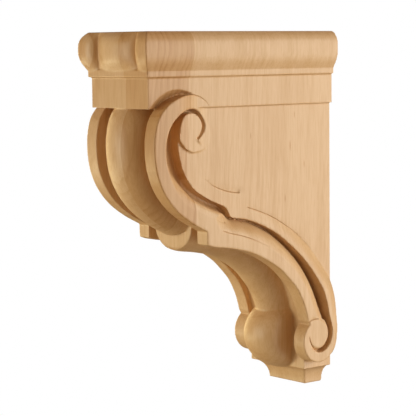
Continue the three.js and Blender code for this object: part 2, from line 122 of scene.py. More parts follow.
# The low tongue that the upper eye runs out into.
EYE_TONGUE = [(0.85, 0.095), (0.842, 0.108), (0.82, 0.131), (0.796, 0.147), (0.764, 0.157), (0.7, 0.146),
              (0.67, 0.1), (0.7, 0.04)]
# Middles of the eye, the roll and the barrel, and the eye's radius as a share of the scroll's depth.
EYE_CENTRE = (0.774, 0.0715)
EYE_RADIUS = 0.068
ROLL_CENTRE = (0.1125, 0.889)
BARREL_CENTRE = (0.11, 0.877)
# Where the upper volute sinks into the panel, where the bead starts, and where the cut over the volute ends
# and is at its full width: shares of the scroll's depth, and for "below" of its drop.
VOLUTE_FADE = {"from": 0.9, "to": 0.66, "below": 0.17}
BEAD_START = 0.92
NECK_CUT_END = 0.745
NECK_CUT_FULL = 0.88
# Walls of the grooves: share of the way across, share of the way down to the floor.
STEEP_SLOPE = [(0, 0), (0.12, 0.66), (0.4, 0.96), (0.7, 1), (1, 1)]
BEVEL_SLOPE = [(0, 0), (0.4, 0.12), (0.6, 0.6), (0.8, 0.96), (1, 1)]
GENTLE_SLOPE = [(0, 0), (0.4, 0.18), (0.78, 0.6), (0.93, 0.93), (1, 1)]
# Shares of a groove's or the bead's run between which its form changes.
BEVEL_GROWS = {"from": 0.52, "to": 0.78}
UPPER_DEEPENS = {"from": -0.15, "to": 0.6}
LOWER_RISES_FROM = 0.8
BEAD_TAPERS = {"from": 0.3, "to": 0.9}
# The border: shares of the way across it, the share of its run at which it is at full height, and the power
# that its growth up to there follows.
BORDER_SHARES = [-0.12, 0, 0.1, 0.2, 0.3, 0.4, 0.5, 0.6, 0.7, 0.8, 0.87, 0.93, 1]
BORDER_FULL_AT = 0.56
BORDER_GROWTH = 2.2
# How far the scroll's plate reaches across the grooves, and down the lower one, in shares.
PLATE_SHARE = 0.93
PLATE_END = 0.6

# Lines that the carver's knife left on the cheeks. "face" is how far the face they are cut in lies from the
# middle plane. The wood on one side of a line is sunk, most of all beside the line, over a width called its
# reach, and the knife went deeper still. A line fades in and out over two shares of its run.
KNIFE_LINES = [
    {"face": PANEL_HALF, "sunk": 0.8, "reach": 8, "knife": 0.5, "fades": (0.5, 0.02),
     "places": [(0.69, 0.262), (0.66, 0.278), (0.625, 0.291), (0.59, 0.301), (0.555, 0.308), (0.513, 0.313)]},
    {"face": PANEL_HALF, "sunk": 0.4, "reach": 5, "knife": 0.45, "fades": (0.05, 0.4),
     "places": [(0.476, 0.367), (0.417, 0.383), (0.345, 0.407), (0.28, 0.436), (0.205, 0.476), (0.12, 0.541),
                (0.045, 0.617)]},
    {"face": FACE_HALF, "sunk": 0.7, "reach": 4, "knife": 0.5, "fades": (0.3, 0.1),
     "places": [(0.689, 0.396), (0.667, 0.402), (0.64, 0.41), (0.61, 0.414)]},
    {"face": FACE_HALF, "sunk": 0.4, "reach": 4, "knife": 0.5, "fades": (0.08, 0.5),
     "places": [(0.658, 0.437), (0.6, 0.452), (0.564, 0.459), (0.488, 0.48), (0.411, 0.509), (0.356, 0.534)]},
    {"face": FRIEZE_HALF, "sunk": 0.25, "reach": 3, "knife": 0.4, "fades": (0.05, 0.6),
     "places": [(0.775, -0.046), (0.752, -0.0425), (0.73, -0.036), (0.712, -0.0264), (0.697, -0.015),
                (0.685, 0)]},
    {"face": FACE_HALF, "sunk": 0.6, "reach": 4, "knife": 0.6, "fades": (0.02, 0.05),
     "places": [(0.186, 0.834), (0.177, 0.816), (0.16, 0.808), (0.1365, 0.8045), (0.118, 0.806)]},
    {"face": FACE_HALF, "sunk": 0.2, "reach": 2, "knife": 1.5, "fades": (0.05, 0.4),
     "places": [(0.145, 0.914), (0.161, 0.899), (0.17, 0.881), (0.174, 0.863)]},
]
KNIFE_WIDTH = 1.9
KNIFE_CLEAR = 0.8
LINE_SHARPNESS = 0.4

# The waviness of carved faces: its height, the lengths of its waves, how far the long ones bend, how high the
# ripple that crosses them is, as a share, and how far from the back and the fillet it starts
WAVE_HEIGHT = 0.05
WAVE_LENGTHS = {"across": 7.1, "bend": 17, "out": 9.3, "down": 12.7}
WAVE_BEND = 1.3
RIPPLE_LENGTHS = {"down": 6.1, "out": 8.3}
RIPPLE_SHARE = 0.6
WAVES_BEYOND = 1

# Wood. Each board is cut from its own trunk, whose middle is a place. Lengths here are metres, and colours
# are shares of light.
GLUE_OUT = 158
GLUE_ACROSS = 8.7
BACK_PITH = (-0.13, 0.06, 0)
FRONT_LEFT_PITH = (-0.02, -0.1, 0)
FRONT_RIGHT_PITH = (0.03, -0.09, 0)
BACK_WOOD = (0.73, 0.5, 0.285)
FRONT_LEFT_WOOD = (0.7, 0.47, 0.27)
FRONT_RIGHT_WOOD = (0.63, 0.385, 0.185)
RING_SPACING = 0.0052
RING_RISE = {"from": 0.35, "to": 0.93}
RING_FALL = 0.94
RING_WARP = 0.016
RING_WARP_SIZE = {"width": 0.03, "length": 0.15, "detail": 4}
RING_TINT = (0.86, 0.76, 0.62)
BACK_RINGS = 0.35
TRUNK_TAPER = 0.07
# Patches in which the rings show, and the streaks of the grain. "from" and "to" are levels of their noise.
PATCHES = {"width": 0.025, "length": 0.1, "detail": 2, "from": 0.3, "to": 0.75}
BROAD_STREAKS = {"width": 0.011, "length": 0.12, "detail": 2, "from": 0.4, "to": 0.72, "strength": 0.5,
                 "tint": (0.86, 0.78, 0.64)}
FIBRES = {"width": 0.0011, "length": 0.02, "detail": 4, "from": 0.38, "to": 0.72, "strength": 0.5,
          "tint": (0.86, 0.78, 0.66)}
HAIRS = {"width": 0.00035, "length": 0.007, "detail": 2, "from": 0.45, "to": 0.8, "strength": 0.4,
         "tint": (0.86, 0.78, 0.66)}
# Darkening of faces that point up or down: partly the end grain there, partly painted shade on the
# undersides.
END_GRAIN_AND_UNDERSIDE_SHADE = {"from": 0.45, "to": 1, "strength": 0.45, "tint": (0.76, 0.64, 0.48)}
SATIN = 0.36
FIBRE_ROUGHNESS = 0.12
GRAIN_BUMP = {"strength": 0.12, "height": 0.0004}
# Small brown mineral marks on the right cheek, and a pin knot: out and down in millimetres, and half the
# width and half the length in metres
MARKS = [(46, 96, 0.0007, 0.006), (30, 112, 0.0006, 0.0045), (52, 140, 0.0006, 0.005),
         (41, 70, 0.0005, 0.004), (101, 157, 0.0011, 0.0016), (90, 86, 0.0005, 0.004)]
MARK_DEPTH = 0.01
MARK_CORE = 0.2
MARK_TINT = (0.72, 0.5, 0.3)

# Camera and lights, in metres and degrees of the part's own frame
CAMERA_PLACE = (1.07058, -0.9992, 0.13833)
CAMERA_TURN = math.radians(50.23)
CAMERA_DIP = math.radians(5.445)
CAMERA_ROLL = math.radians(-0.57)
CAMERA_LENS = 144.464
FLOOR_HEIGHT = -0.6
FLOOR_SIZE = 40
FLOOR_COLOUR = (0.5, 0.44, 0.36)
FLOOR_ROUGHNESS = 0.9
AMBIENT = 0.27
AMBIENT_COLOUR = (1, 0.68, 0.42)
LIGHTS_AIM = (0, -0.1, 0)
LIGHT_DISTANCE = 1.55
# Name, direction from the bracket, width, height, power in watts and colour
LIGHTS = [
    ("right_back", (0.76, 0.64, 0.06), 1.5, 1.5, 25, (1, 0.99, 0.92)),
    ("front", (-0.36, -0.93, 0), 0.8, 0.8, 10.8, (1, 0.98, 0.8)),
    ("low_left", (-0.75, -0.43, -0.5), 0.9, 0.9, 16.5, (1, 0.93, 0.6)),
    ("left", (-0.99, 0.09, 0), 0.9, 0.9, 7.5, (1, 0.82, 0.42)),
]

# Fineness, and the small lengths by which pieces run into each other
GROOVE_STEPS = 150
EDGE_STEPS = 140
ARC_STEPS = 36
LOBE_STEPS = 14
LOBE_TURN = math.radians(84)
SLOPE_STEPS = 16
OVERLAP = 3
SUNK = 0.4
ABOVE_ALL = 10
LINE_STEPS = 40
VOXEL = 0.7
SHARP_ANGLE = math.radians(50)
EASING_ROUNDS = 6
EASING_STRENGTHS = (0.5, -0.52)
BORDER_LEFT_OUT = 3
TRIANGLES = 190000


def at(share):
    return np.array([SCROLL_OUT * share[0], NECK + SCROLL_DROP * share[1]])


def spline(points, steps):
    """Points along the smooth curve through the given points, with the same spacing rule as the solid's."""
    points = np.asarray(points, float)
    last = len(points) - 1
    along = np.linspace(0, last, steps + 1)
    i = np.minimum(along.astype(int), last - 1)
    t = (along - i)[:, None]
    before, start, end, after = (points[np.clip(i + k, 0, last)] for k in (-1, 0, 1, 2))
    leave = (end - before) / 2
    arrive = (after - start) / 2
    return (
        (2 * start - 2 * end + leave + arrive) * t**3
        + (-3 * start + 3 * end - 2 * leave - arrive) * t**2
        + leave * t
        + start
    )


def curve(shares, steps):
    return spline([at(share) for share in shares], steps)


def ease(value, start, end):
    t = np.clip((value - start) / (end - start), 0, 1)
    return t * t * (3 - 2 * t)


def in_space(place, x):
    return (x, -place[0], HEIGHT / 2 - place[1])


def outward(edge):
    """Unit directions out of the wood along an edge that runs down the front."""
    run = np.gradient(edge, axis=0)
    run /= np.linalg.norm(run, axis=1)[:, None]
    return np.stack([run[:, 1], -run[:, 0]], axis=1)


def shifted(edge, distance):
    """An edge moved outwards by one length, or by a length for each of its places."""
    return edge + outward(edge) * np.reshape(distance, (-1, 1))


def mesh_piece(name, corners, faces):
    mesh = bpy.data.meshes.new(name)
    mesh.from_pydata([tuple(map(float, corner)) for corner in corners], [], faces)
    work = bmesh.new()
    work.from_mesh(mesh)
    bmesh.ops.triangulate(work, faces=[f for f in work.faces if len(f.verts) > 4], ngon_method="EAR_CLIP")
    bmesh.ops.recalc_face_normals(work, faces=work.faces)
    work.to_mesh(mesh)
    work.free()
    piece = bpy.data.objects.new(name, mesh)
    bpy.context.scene.collection.objects.link(piece)
    return piece


def loft(name, sections):
    """A closed skin over a row of sections that have equally many corners."""
    count = len(sections[0])
    faces = [tuple(range(count))[::-1], tuple(len(sections) * count - count + k for k in range(count))]
    for row in range(len(sections) - 1):
        for k in range(count):
            a = row * count + k
            b = row * count + (k + 1) % count
            faces.append((a, b, b + count, a + count))
    return mesh_piece(name, [corner for section in sections for corner in section], faces)


def plate(name, outline, low, high):
    """An outline on the cheek made into a plate between two distances from the middle plane."""
    return loft(name, [[in_space(place, x) for place in outline] for x in (low, high)])


def block(name, half, depth, top, bottom):
    corners = [(0, top), (depth, top), (depth, bottom), (0, bottom)]
    return plate(name, corners, -half, half)


def lobe_line(nose):
    """The front of the cap seen from above: three lobes with a sharp valley between each two."""
    half = FRIEZE_HALF + nose
    valley = CAP_LOBE_WIDTH / 2
    turns = np.linspace(0, LOBE_TURN, LOBE_STEPS + 1)
    centre = [(valley * math.sin(turn), 1 - math.cos(turn)) for turn in turns]
    corner = [(valley + CAP_CORNER_WIDTH * (1 - math.sin(turn)), 1 - math.cos(turn)) for turn in turns]
    right = centre[1:] + corner[::-1] + [(half, 0)]
    left = [(-x, fall) for x, fall in right[::-1]]
    return [(x, FRIEZE_OUT + nose * (1 - fall)) for x, fall in left + [(0, 0)] + right]


def cap():
    sections = []
    for share, nose in spline(CAP_PROFILE, ARC_STEPS):
        front = lobe_line(CAP_NOSE * nose)
        outline = front + [(front[-1][0], 0), (front[0][0], 0)]
        sections.append([in_space((out, CAP_HEIGHT * share), x) for x, out in outline])
    return loft("cap", sections)


def volute_face(out):
    """How far from the middle plane the upper volute's face lies at a distance out."""
    fall = ease(-out, -SCROLL_OUT * VOLUTE_FADE["from"], -SCROLL_OUT * VOLUTE_FADE["to"])
    return FACE_HALF - (SCROLL_RELIEF + SUNK) * fall


def face_at(place):
    return FACE_HALF if place[1] > at((0, VOLUTE_FADE["below"]))[1] else volute_face(place[0])


def groove(name, band_shares, panel_shares, top_at, floor_at, slope_at):
    """Everything above a slope that falls from one edge of a groove to the foot of its far wall."""
    band = curve(band_shares, GROOVE_STEPS)
    panel = curve(panel_shares, GROOVE_STEPS)
    sections = []
    for i, (edge, foot) in enumerate(zip(band, panel)):
        top = top_at(edge)
        floor = floor_at(i / GROOVE_STEPS)
        slope = slope_at(i / GROOVE_STEPS)
        section = [
            in_space(edge + (foot - edge) * across, top + (floor - top) * fall) for across, fall in slope
        ]
        section += [in_space(foot, FACE_HALF + ABOVE_ALL), in_space(edge, FACE_HALF + ABOVE_ALL)]
        sections.append(section)
    return loft(name, sections)


def upper_groove():
    def floor_at(share):
        return PANEL_HALF - UPPER_GROOVE_DEPTH * ease(share, UPPER_DEEPENS["from"], UPPER_DEEPENS["to"])

    def slope_at(share):
        return steep + (bevel - steep) * ease(share, BEVEL_GROWS["from"], BEVEL_GROWS["to"])

    steep = spline(STEEP_SLOPE, SLOPE_STEPS)
    bevel = spline(BEVEL_SLOPE, SLOPE_STEPS)
    return groove("upper_groove", UPPER_GROOVE_BAND, UPPER_GROOVE_PANEL, face_at, floor_at, slope_at)


def lower_groove():
    full = PANEL_HALF - LOWER_GROOVE_DEPTH

    def floor_at(share):
        return full + (FACE_HALF - SUNK - full) * ease(share, LOWER_RISES_FROM, 1)

    slope = spline(GENTLE_SLOPE, SLOPE_STEPS)
    return groove(
        "lower_groove",
        LOWER_GROOVE_BAND,
        LOWER_GROOVE_PANEL,
        lambda place: FACE_HALF,
        floor_at,
        lambda share: slope,
    )


def scroll_plate():
    """The whole S of one cheek at full relief, without its grooves."""
    feet = []
    for band, panel in ((UPPER_GROOVE_BAND, UPPER_GROOVE_PANEL), (LOWER_GROOVE_BAND, LOWER_GROOVE_PANEL)):
        start = curve(band, GROOVE_STEPS)
        feet.append(start + (curve(panel, GROOVE_STEPS) - start) * PLATE_SHARE)
    upper_foot, lower_foot = feet
    lower_foot = lower_foot[: int(GROOVE_STEPS * PLATE_END)]
    edges = [curve(UPPER_EDGE, EDGE_STEPS), curve(LOWER_EDGE, EDGE_STEPS), [at(ROLL_CENTRE)]]
    outline = np.concatenate(edges + [lower_foot[::-1], upper_foot[::-1]])
    return plate("scroll", outline, STRIP_INNER, FACE_HALF)


def volute_fade():
    """What is taken off the upper volute so that its face sinks into the panel."""
    start = SCROLL_OUT * VOLUTE_FADE["from"]
    end = SCROLL_OUT * VOLUTE_FADE["to"]
    beyond = end - (start - end)
    outline = [(volute_face(out), out) for out in np.linspace(start, end, ARC_STEPS + 1)]
    outline += [(volute_face(end), beyond), (FACE_HALF + ABOVE_ALL, beyond), (FACE_HALF + ABOVE_ALL, start)]
    downs = (FRIEZE_TOP, at((0, VOLUTE_FADE["below"]))[1])
    return loft("fade", [[in_space((out, down), x) for x, out in outline] for down in downs])


def neck_cut():
    """The hollow cut into the frieze that lets the top of the volute stand free."""
    edge = curve(UPPER_EDGE, EDGE_STEPS)
    end = SCROLL_OUT * NECK_CUT_END
    full = SCROLL_OUT * NECK_CUT_FULL
    width = NECK_CUT_WIDTH * ease(edge[:, 0], end, full) + SUNK
    outer = edge + outward(edge) * width[:, None]
    inner = shifted(edge, -OVERLAP)
    kept = (edge[:, 0] > end) & (edge[:, 1] < NECK + 2 * NECK_CUT_WIDTH)
    low = FRIEZE_HALF - NECK_CUT_DEPTH
    sections = []
    for i in np.flatnonzero(kept):
        places = [(outer[i], FRIEZE_HALF), (edge[i], low), (inner[i], low)]
        places += [(inner[i], FACE_HALF), (outer[i], FACE_HALF)]
        sections.append([in_space(place, x) for place, x in places])
    return loft("neck_cut", sections)


def eye_pieces():
    """The button that the upper volute coils round and the low tongue that runs on from it."""
    turns = np.linspace(0, 2 * math.pi, 2 * ARC_STEPS, endpoint=False)
    circle = at(EYE_CENTRE) + SCROLL_OUT * EYE_RADIUS * np.stack([np.cos(turns), np.sin(turns)], axis=1)
    high = at(EYE_TONGUE[0])[0]
    flush = SCROLL_OUT * VOLUTE_FADE["to"]
    pieces = []
    for name, outline in (("button", circle), ("tongue", curve(EYE_TONGUE, EDGE_STEPS))):
        rise = EYE_RELIEF * (outline[:, 0] - flush) / (high - flush)
        bottom = [in_space(place, STRIP_INNER) for place in outline]
        top = [in_space(place, PANEL_HALF + up) for place, up in zip(outline, rise)]
        pieces.append(loft(name, [bottom, top]))
    return pieces


def border():
    """The raised border beyond the lower groove, which grows into the outer coil of the lower volute."""
    near = curve(LOWER_GROOVE_PANEL, GROOVE_STEPS)
    limit = curve(BORDER_LIMIT, GROOVE_STEPS)
    low = PANEL_HALF - SUNK
    sections = []
    for i in range(GROOVE_STEPS - BORDER_LEFT_OUT):
        growth = min(i / GROOVE_STEPS / BORDER_FULL_AT, 1) ** BORDER_GROWTH
        section = []
        for share in BORDER_SHARES:
            rise = math.cos(max(share, 0) * math.pi / 2)
            place = near[i] + (limit[i] - near[i]) * share
            section.append(in_space(place, low + (BORDER_RELIEF + SUNK) * growth * rise))
        for share in (BORDER_SHARES[-1], BORDER_SHARES[0]):
            section.append(in_space(near[i] + (limit[i] - near[i]) * share, STRIP_INNER))
        sections.append(section)
    return loft("border", sections)


def bead(name, edge, taper, first=None):
    """The rounded bead down the middle of the front, along one edge of the scroll, tapered by shares."""
    turns = np.linspace(-math.pi / 2, math.pi / 2, ARC_STEPS + 1)
    outline = [(math.sin(turn), math.cos(turn)) for turn in turns]
    below = -OVERLAP / FRONT_RECESS
    outline += [(1, below), (-1, below)]
    directions = outward(edge)
    if first is not None:
        directions[0] = first
    sections = []
    for place, direction, run_out in zip(edge, directions, taper):
        half = BEAD_HALF - BEAD_TAPER * run_out
        height = FRONT_RECESS + BEAD_PROUD + BEAD_RISE * run_out
        bottom = place - direction * FRONT_RECESS
        section = [in_space(bottom + direction * height * up, half * across) for across, up in outline]
        sections.append(section)
    return loft(name, sections)


def lower_taper():
    """How far the lower bead and the recess beside it have run out towards the barrel, from 0 to 1."""
    return ease(np.linspace(0, 1, EDGE_STEPS + 1), BEAD_TAPERS["from"], BEAD_TAPERS["to"])


def bead_edge():
    edge = curve(UPPER_EDGE, EDGE_STEPS)
    return edge[np.argmax(edge[:, 0] > SCROLL_OUT * BEAD_START):]


def core():
    """The inner block: the panel between the cheeks and the bottom of the grooves beside the bead."""
    lower_recess = FRONT_RECESS + (LOWER_RECESS - FRONT_RECESS) * lower_taper()
    lower = shifted(curve(LOWER_EDGE, EDGE_STEPS), -lower_recess)
    front = np.concatenate([shifted(bead_edge(), -FRONT_RECESS), lower])
    inside_cap = CAP_HEIGHT / 2
    outline = [(0, inside_cap), (front[0][0], inside_cap), *front, (front[-1][0], FOOT_TOP), (0, FOOT_TOP)]
    return plate("core", outline, -PANEL_HALF, PANEL_HALF)


def roll():
    turns = np.linspace(0, 2 * math.pi, 4 * ARC_STEPS, endpoint=False)
    circle = at(ROLL_CENTRE) + ROLL_RADIUS * np.stack([np.cos(turns), np.sin(turns)], axis=1)
    return plate("roll", circle, STRIP_INNER, FACE_HALF)


def barrel():
    centre = at(BARREL_CENTRE)
    half = BEAD_HALF - BEAD_TAPER
    turns = np.linspace(0, 2 * math.pi, 3 * ARC_STEPS, endpoint=False)
    sections = []
    for swell in np.linspace(-math.pi / 2, math.pi / 2, ARC_STEPS + 1):
        radius = BARREL_WAIST + (BARREL_RADIUS - BARREL_WAIST) * math.cos(swell)
        ring = np.stack([radius * np.cos(turns), BARREL_SQUASH * radius * np.sin(turns)], axis=1)
        sections.append([in_space(centre + place, half * math.sin(swell)) for place in ring])
    return loft("barrel", sections)


def foot():
    sections = []
    for turn in np.linspace(0, math.pi / 2, ARC_STEPS // 2 + 1):
        back = FOOT_COVE * math.sin(turn)
        half = PANEL_HALF - back
        depth = FOOT_BLOCK_DEPTH - back
        down = FOOT_TOP + FOOT_HEIGHT * (1 - math.cos(turn))
        corners = ((-half, 0), (half, 0), (half, depth), (-half, depth))
        sections.append([in_space((out, down), x) for x, out in corners])
    return loft("foot", sections)


def mirrored(piece):
    """A copy of a piece on the other cheek."""
    copy = bpy.data.objects.new(piece.name + "_left", piece.data.copy())
    bpy.context.scene.collection.objects.link(copy)
    copy.data.transform(Matrix.Scale(-1, 4, (1, 0, 0)))
    copy.data.flip_normals()
    return copy


def applied(piece):
    """Makes a piece's modifiers part of its mesh."""
    graph = bpy.context.evaluated_depsgraph_get()
    mesh = bpy.data.meshes.new_from_object(piece.evaluated_get(graph))
    piece.modifiers.clear()
    piece.data = mesh


def combined(piece, others, operation):
    """Joins other pieces to a piece, or cuts them out of it, and deletes them."""
    for other in others:
        change = piece.modifiers.new("boolean", "BOOLEAN")
        change.solver = "MANIFOLD"
        change.operation = operation
        change.object = other
        applied(piece)
        bpy.data.objects.remove(other)
    return piece


def carved():
    """The whole bracket as one closed mesh with sharp edges, from pieces like the solid's."""
    cheek = combined(scroll_plate(), [volute_fade()], "DIFFERENCE")
    cheek = combined(cheek, [*eye_pieces(), border(), roll()], "UNION")
    cut = neck_cut()
    frieze = block("frieze", FRIEZE_HALF, FRIEZE_OUT, CAP_HEIGHT - SUNK, NECK)
    whole = combined(combined(frieze, [core()], "UNION"), [mirrored(cut), cut], "DIFFERENCE")
    lower = curve(LOWER_EDGE, EDGE_STEPS)
    solids = [
        cap(),
        block("fillet", FRIEZE_HALF + FILLET_STEP, FRIEZE_OUT + FILLET_STEP, CAP_HEIGHT - SUNK, FRIEZE_TOP),
        block("foot_block", PANEL_HALF, FOOT_BLOCK_DEPTH, FOOT_TOP - FOOT_BLOCK_HEIGHT, FOOT_TOP),
        foot(),
        barrel(),
        bead("upper_bead", bead_edge(), np.zeros(len(bead_edge()))),
        bead("lower_bead", lower, lower_taper(), np.array([0, 1])),
        mirrored(cheek),
        cheek,
    ]
    whole = combined(whole, solids, "UNION")
    grooves = [upper_groove(), lower_groove()]
    whole = combined(whole, [mirrored(piece) for piece in grooves] + grooves, "DIFFERENCE")
    beyond = [(0, -HEIGHT), (0, 2 * HEIGHT), (-CAP_DEPTH, 2 * HEIGHT), (-CAP_DEPTH, -HEIGHT)]
    behind = plate("behind", beyond, -CAP_DEPTH, CAP_DEPTH)
    return combined(whole, [behind], "DIFFERENCE")


def mesh_arrays(mesh):
    places = np.empty(3 * len(mesh.vertices))
    mesh.vertices.foreach_get("co", places)
    edges = np.empty(2 * len(mesh.edges), int)
    mesh.edges.foreach_get("vertices", edges)
    return places.reshape(-1, 3), edges.reshape(-1, 2)


def eased(places, edges, rounds):
    """Takes the steps of the voxels out of a surface without shrinking it."""
    count = len(places)
    near = np.bincount(edges.ravel(), minlength=count)[:, None]
    for _ in range(rounds):
        for strength in EASING_STRENGTHS:
            total = np.empty_like(places)
            for axis in range(3):
                values = places[:, axis]
                total[:, axis] = np.bincount(edges[:, 0], values[edges[:, 1]], count)
                total[:, axis] += np.bincount(edges[:, 1], values[edges[:, 0]], count)
            places = places + strength * (total / near - places)
    return places


def distance_along(places, line):
    """How far each flat place is from a line of points, on which side, and how far along it, from 0 to 1."""
    starts, steps = line[:-1], np.diff(line, axis=0)
    lengths = np.linalg.norm(steps, axis=1)
    best = np.full(len(places), np.inf)
    side = np.zeros(len(places))
    along = np.zeros(len(places))
    run = np.concatenate([[0], np.cumsum(lengths)])
    for start, step, length, passed in zip(starts, steps, lengths, run):
        offset = places - start
        share = np.clip(offset @ step / length**2, 0, 1)
        gap = np.linalg.norm(offset - share[:, None] * step, axis=1)
        closer = gap < best
        best[closer] = gap[closer]
        side[closer] = np.sign(step[0] * offset[closer, 1] - step[1] * offset[closer, 0])
        along[closer] = (passed + share[closer] * length) / run[-1]
    return best, side, along


def knife_strength(along, start_fade, end_fade):
    return ease(along, 0, start_fade) * (1 - ease(along, 1 - end_fade, 1))


def sink_beside_lines(places):
    """Lowers the wood on one side of each knife line, so that it runs out softly away from the line."""
    flat = np.stack([-places[:, 1], HEIGHT / 2 - places[:, 2]], axis=1)
    for cut in KNIFE_LINES:
        line = curve(cut["places"], LINE_STEPS)
        reach = cut["reach"]
        low, high = line.min(axis=0) - reach, line.max(axis=0) + reach
        near = np.all((flat > low) & (flat < high), axis=1) & (np.abs(places[:, 0]) > cut["face"] - reach)
        chosen = np.flatnonzero(near)
        gap, side, along = distance_along(flat[chosen], line)
        behind = np.exp(-((gap / LINE_SHARPNESS) ** 2))
        ahead = np.maximum(1 - gap / reach, 0) ** 2
        sink = cut["sunk"] * knife_strength(along, *cut["fades"]) * np.where(side > 0, ahead, behind)
        places[chosen, 0] -= np.sign(places[chosen, 0]) * sink


def knife_cuts():
    """Thin wedges that cut the lines themselves."""
    wedges = []
    for number, cut in enumerate(KNIFE_LINES):
        line = curve(cut["places"], LINE_STEPS)
        above = cut["face"] + KNIFE_CLEAR
        sections = []
        for i, (place, direction) in enumerate(zip(line, outward(line))):
            strength = knife_strength(i / LINE_STEPS, *cut["fades"])
            tip = cut["face"] - (cut["sunk"] + cut["knife"]) * strength
            sides = [place - direction * KNIFE_WIDTH / 2, place + direction * KNIFE_WIDTH / 2]
            sections.append([in_space(place, tip)] + [in_space(side, above) for side in sides])
        wedges.append(loft(f"knife_{number}", sections))
    return wedges


def hand_worked(places):
    """The slight waviness that a gouge and sandpaper leave on carved faces."""
    x, y, z = places.T
    bend = WAVE_BEND * np.sin(z / WAVE_LENGTHS["bend"])
    wave = np.sin(x / WAVE_LENGTHS["across"] + bend)
    wave = wave * np.sin(y / WAVE_LENGTHS["out"] + z / WAVE_LENGTHS["down"])
    ripple = np.sin(z / RIPPLE_LENGTHS["down"] + y / RIPPLE_LENGTHS["out"])
    carved_here = (-y > WAVES_BEYOND) & (HEIGHT / 2 - z > FRIEZE_TOP + WAVES_BEYOND)
    height = WAVE_HEIGHT * (wave + RIPPLE_SHARE * ripple)
    places[:, 0] += np.sign(x) * np.where(carved_here, height, 0)


def fine_bracket():
    piece = carved()
    skin = piece.modifiers.new("skin", "REMESH")
    skin.mode = "VOXEL"
    skin.voxel_size = VOXEL
    applied(piece)
    places, edges = mesh_arrays(piece.data)
    places = eased(places, edges, EASING_ROUNDS)
    sink_beside_lines(places)
    hand_worked(places)
    piece.data.vertices.foreach_set("co", places.ravel())
    piece.data.update()
    fewer = piece.modifiers.new("fewer", "DECIMATE")
    fewer.ratio = min(1, TRIANGLES / sum(len(face.vertices) - 2 for face in piece.data.polygons))
    applied(piece)
    cuts = knife_cuts()
    combined(piece, [mirrored(cut) for cut in cuts] + cuts, "DIFFERENCE")
    piece.data.transform(Matrix.Scale(MILLIMETRE, 4))
    piece.data.shade_smooth()
    piece.data.set_sharp_from_angle(angle=SHARP_ANGLE)
    piece.name = "maple_bracket"
    return piece


def feed(tree, socket, value):
    """Sets a socket to a plain value, or links it to another node's output."""
    if isinstance(value, bpy.types.NodeSocket):
        tree.links.new(value, socket)
    else:
        socket.default_value = value


def maths(tree, operation, *values):
    made = tree.nodes.new("ShaderNodeMath")
    made.operation = operation
    for socket, value in zip(made.inputs, values):
        feed(tree, socket, value)
    return made.outputs[0]


def vector_maths(tree, operation, *values):
    made = tree.nodes.new("ShaderNodeVectorMath")
    made.operation = operation
    for socket, value in zip(made.inputs, values):
        feed(tree, socket, value)
    return made.outputs["Value" if operation == "LENGTH" else "Vector"]


def blend(tree, share, first, second, how="MIX"):
    """A mix of two colours, or of two places written as colours."""
    made = tree.nodes.new("ShaderNodeMix")
    made.data_type = "RGBA"
    made.blend_type = how
    feed(tree, made.inputs[0], share)
    for socket, value in ((made.inputs[6], first), (made.inputs[7], second)):
        feed(tree, socket, value if isinstance(value, bpy.types.NodeSocket) else (*value, 1))
    return made.outputs[2]


def ramp(tree, value, low, high):
    """0 below one limit and 1 above the other, with an eased rise between them."""
    made = tree.nodes.new("ShaderNodeMapRange")
    made.interpolation_type = "SMOOTHSTEP"
    for name, given in (("Value", value), ("From Min", low), ("From Max", high)):
        feed(tree, made.inputs[name], given)
    return made.outputs[0]


def streaks(tree, place, kind):
    """Noise drawn out along the grain, from streaks with a given width and length."""
    across = 1 / kind["width"]
    drawn = vector_maths(tree, "MULTIPLY", place, (across, across, 1 / kind["length"]))
    made = tree.nodes.new("ShaderNodeTexNoise")
    feed(tree, made.inputs["Vector"], drawn)
    made.inputs["Scale"].default_value = 1
    made.inputs["Detail"].default_value = kind["detail"]
    return made.outputs[0]


def tinted(tree, colour, value, kind):
    """A colour with a tint laid over it wherever a value is high."""
    shown = maths(tree, "MULTIPLY", ramp(tree, value, kind["from"], kind["to"]), kind["strength"])
    return blend(tree, shown, colour, kind["tint"], "MULTIPLY")


def growth_rings(tree, place, pith):
    """Thin late rings round a slightly tapering trunk whose middle lies at the given place."""
    warp = maths(tree, "MULTIPLY", streaks(tree, place, RING_WARP_SIZE), RING_WARP)
    flat = vector_maths(tree, "MULTIPLY", vector_maths(tree, "SUBTRACT", place, pith), (1, 1, 0))
    height = tree.nodes.new("ShaderNodeSeparateXYZ")
    feed(tree, height.inputs[0], place)
    taper = maths(tree, "MULTIPLY", height.outputs[2], TRUNK_TAPER)
    radius = maths(tree, "ADD", maths(tree, "ADD", vector_maths(tree, "LENGTH", flat), warp), taper)
    turn = maths(tree, "FRACT", maths(tree, "DIVIDE", radius, RING_SPACING))
    late = ramp(tree, turn, RING_RISE["from"], RING_RISE["to"])
    return maths(tree, "MULTIPLY", late, maths(tree, "SUBTRACT", 1, ramp(tree, turn, RING_FALL, 1)))


def mark(tree, place, out, down, width, length):
    """How strongly a small spindle-shaped mark on the right cheek shows at a place."""
    centre = (PANEL_HALF * MILLIMETRE, -out * MILLIMETRE, (HEIGHT / 2 - down) * MILLIMETRE)
    size = (1 / MARK_DEPTH, 1 / width, 1 / length)
    offset = vector_maths(tree, "MULTIPLY", vector_maths(tree, "SUBTRACT", place, centre), size)
    return maths(tree, "SUBTRACT", 1, ramp(tree, vector_maths(tree, "LENGTH", offset), MARK_CORE, 1))


